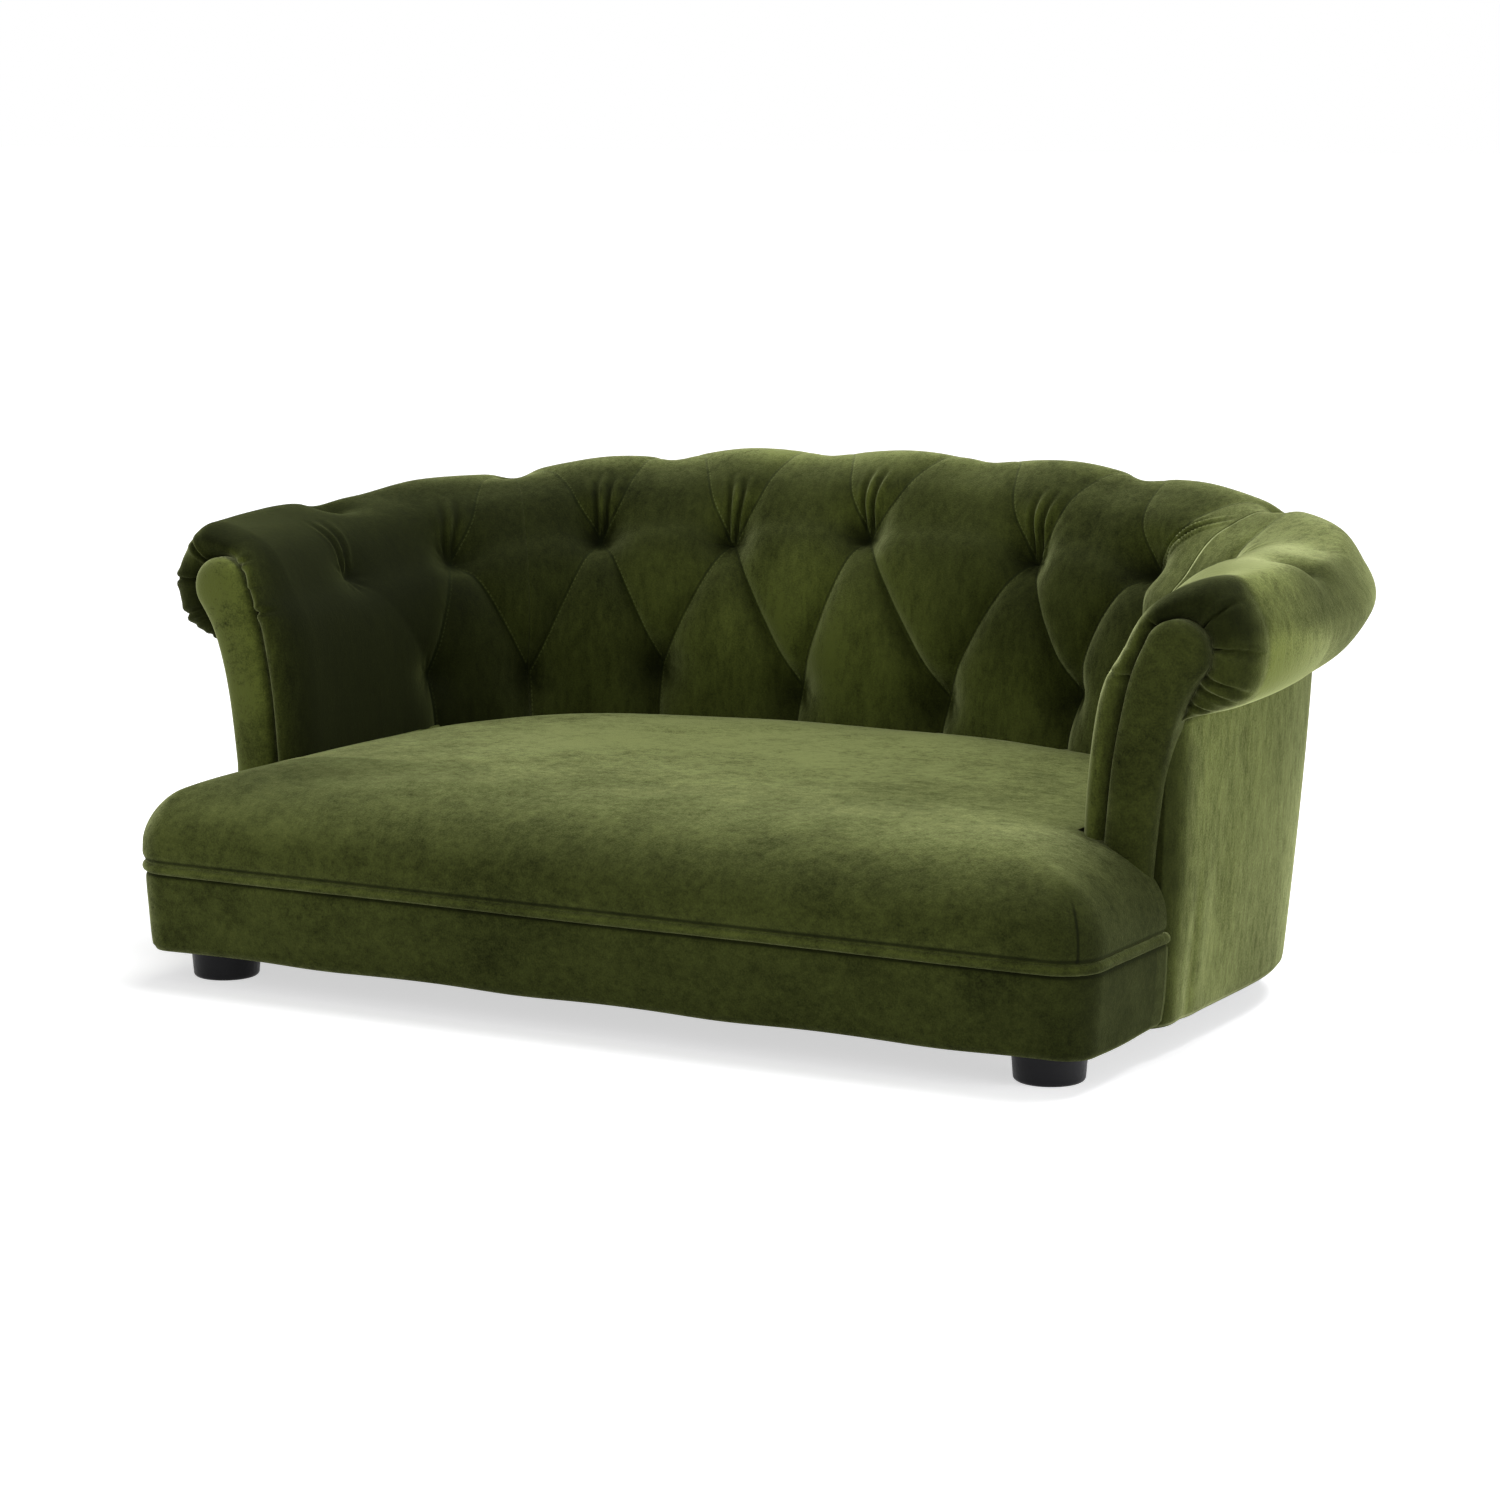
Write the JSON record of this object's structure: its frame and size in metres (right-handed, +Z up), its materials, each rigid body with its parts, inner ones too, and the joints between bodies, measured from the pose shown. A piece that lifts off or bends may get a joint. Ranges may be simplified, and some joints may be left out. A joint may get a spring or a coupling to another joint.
{
  "type": "pet sofa bed",
  "caption": "Small tufted sofa for a pet, with a curved button-free back, rolled arms, a fixed crowned seat, a welted base and round feet.",
  "frame": {"origin": "on the floor under the centre of the sofa's overall box", "axes": "+X along the sofa to the right as seen from the front, +Y towards the back, +Z up"},
  "size_m": [0.8752, 0.5195, 0.3543],
  "materials": {
    "dust_cloth": "black spun dust cloth",
    "fixing_steel": "zinc-plated steel",
    "foam": "cream upholstery foam",
    "foot_plastic": "black moulded plastic",
    "frame_wood": "bare softwood",
    "outside_velvet": "olive green velvet pulled flat",
    "plywood": "bare plywood",
    "seat_velvet": "olive green velvet, brushed nap",
    "tufted_velvet": "deep olive green velvet, soft sheen",
    "webbing": "black elastic webbing"
  },
  "bodies": {
    "root": {"back_board": "plywood", "back_pad": "tufted_velvet", "back_posts": "frame_wood", "back_roll_core": "foam", "back_top_rail": "frame_wood", "base_band": "seat_velvet", "centre_stretcher": "frame_wood", "corner_blocks": "frame_wood", "cross_webbing": "webbing", "dust_cover": "dust_cloth", "foot_bolts": "fixing_steel", "front_left_foot": "foot_plastic", "front_rail": "frame_wood", "front_right_foot": "foot_plastic", "left_arm_board": "plywood", "left_arm_pad": "tufted_velvet", "left_arm_posts": "frame_wood", "left_arm_roll_core": "foam", "left_arm_top_rail": "frame_wood", "left_corner_rail": "frame_wood", "left_facing": "seat_velvet", "left_facing_board": "plywood", "left_side_rail": "frame_wood", "long_webbing": "webbing", "outside_back_panel": "outside_velvet", "outside_left_panel": "outside_velvet", "outside_right_panel": "outside_velvet", "rear_left_foot": "foot_plastic", "rear_rail": "frame_wood", "rear_right_foot": "foot_plastic", "right_arm_board": "plywood", "right_arm_pad": "tufted_velvet", "right_arm_posts": "frame_wood", "right_arm_roll_core": "foam", "right_arm_top_rail": "frame_wood", "right_corner_rail": "frame_wood", "right_facing": "seat_velvet", "right_facing_board": "plywood", "right_side_rail": "frame_wood", "seat_cover": "seat_velvet", "seat_foam": "foam", "seat_welt": "seat_velvet", "tee_nuts": "fixing_steel"}
  },
  "joints": []
}
